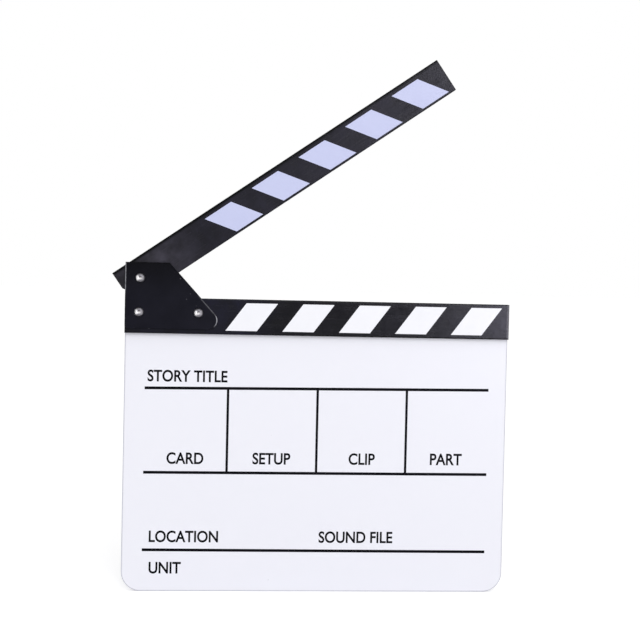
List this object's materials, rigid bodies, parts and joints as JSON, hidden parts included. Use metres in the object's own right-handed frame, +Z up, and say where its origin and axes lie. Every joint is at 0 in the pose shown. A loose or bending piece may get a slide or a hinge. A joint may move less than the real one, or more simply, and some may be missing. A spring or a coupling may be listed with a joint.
{
  "type": "clapperboard",
  "caption": "Film slate: white dry-erase board in a striped black stick, with a second striped stick hinged above it between two plates, shown open.",
  "frame": {"origin": "middle of the slate's bottom edge, on the slate's mid-plane", "axes": "+X to the right seen from the front, +Z up, the written front faces -Y"},
  "size_m": [0.3101, 0.0222, 0.4178],
  "materials": {
    "white_acrylic": "gloss",
    "black_painted_wood": "satin",
    "black_anodised_plate": "satin",
    "stainless_steel": "satin",
    "nylon": "satin",
    "nickel_magnet": "polished",
    "lower_white_vinyl": "satin",
    "upper_white_vinyl": "satin"
  },
  "bodies": {
    "slate": {"slate_board": "white_acrylic", "lower_stick": "black_painted_wood", "front_hinge_plate": "black_anodised_plate", "rear_hinge_plate": "black_anodised_plate", "pivot_screw": "stainless_steel", "pivot_flat_washer": "stainless_steel", "pivot_lock_nut": "stainless_steel", "pivot_nut_insert": "nylon", "front_pivot_washer": "nylon", "rear_pivot_washer": "nylon", "lower_magnet": "nickel_magnet", "fixing_screw_1": "stainless_steel", "fixing_flat_washer_1": "stainless_steel", "fixing_lock_nut_1": "stainless_steel", "fixing_nut_insert_1": "nylon", "fixing_screw_2": "stainless_steel", "fixing_flat_washer_2": "stainless_steel", "fixing_lock_nut_2": "stainless_steel", "fixing_nut_insert_2": "nylon", "lower_stripe_1": "lower_white_vinyl", "lower_stripe_2": "lower_white_vinyl", "lower_stripe_3": "lower_white_vinyl", "lower_stripe_4": "lower_white_vinyl", "lower_stripe_5": "lower_white_vinyl"},
    "clap_stick": {"upper_stick": "black_painted_wood", "upper_magnet": "nickel_magnet", "upper_stripe_1": "upper_white_vinyl", "upper_stripe_2": "upper_white_vinyl", "upper_stripe_3": "upper_white_vinyl", "upper_stripe_4": "upper_white_vinyl", "upper_stripe_5": "upper_white_vinyl"}
  },
  "joints": [
    {"name": "clap_hinge", "type": "hinge", "parent": "slate", "child": "clap_stick", "pos_m": [-0.1384, 0, 0.243], "axis": [0, -1, 0], "range_deg": [-35.1, 30]}
  ]
}
